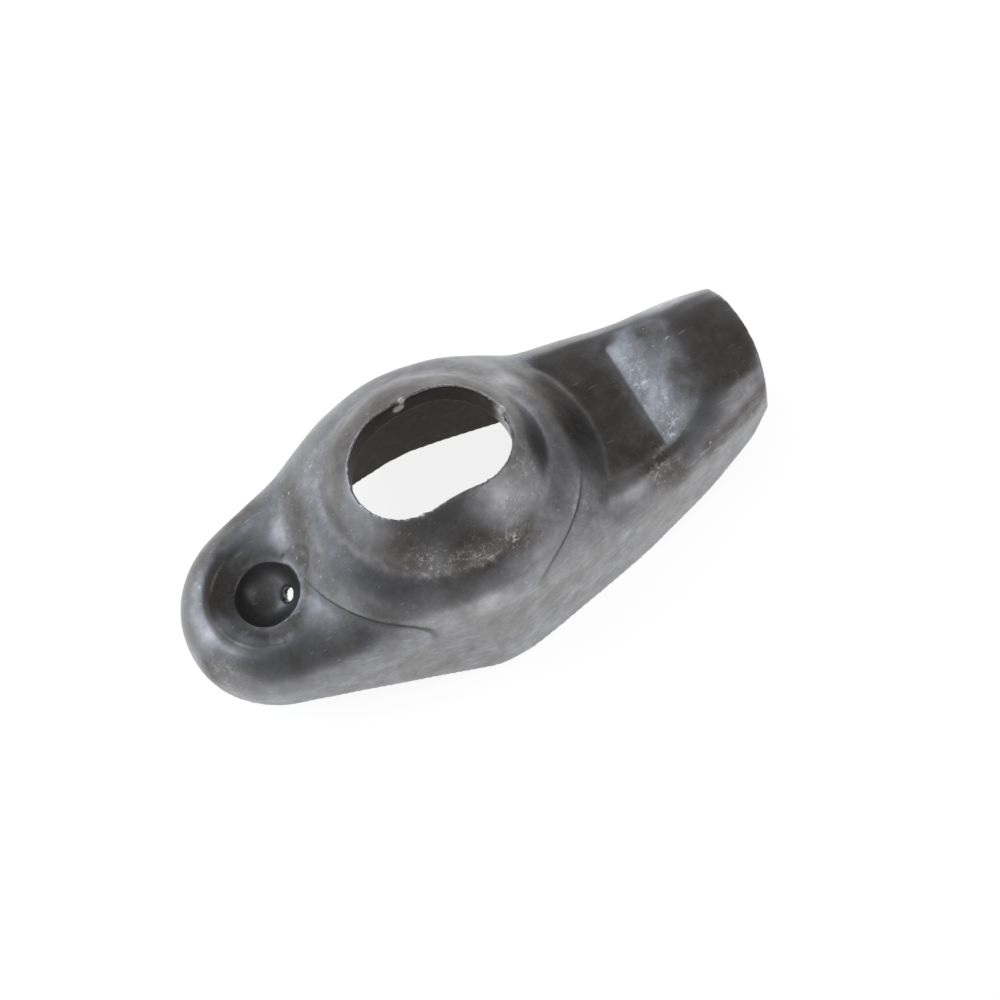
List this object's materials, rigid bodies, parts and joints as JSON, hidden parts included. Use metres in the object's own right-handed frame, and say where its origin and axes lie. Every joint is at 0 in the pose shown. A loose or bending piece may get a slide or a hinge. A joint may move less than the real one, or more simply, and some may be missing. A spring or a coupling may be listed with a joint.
{
  "type": "rocker arm",
  "caption": "Stamped steel rocker arm with a domed ball seat, stud slot, oiled pushrod cup and round valve pad.",
  "frame": {"origin": "centre of the spherical ball seat", "axes": "+X towards the valve tip, +Y across the arm, +Z towards the domed face that meets the pushrod and the valve"},
  "size_m": [0.0749, 0.0332, 0.0276],
  "materials": {
    "steel": "dark heat-treated and phosphated, satin, lightly worn"
  },
  "bodies": {
    "root": {"rocker_arm": "steel"}
  },
  "joints": []
}
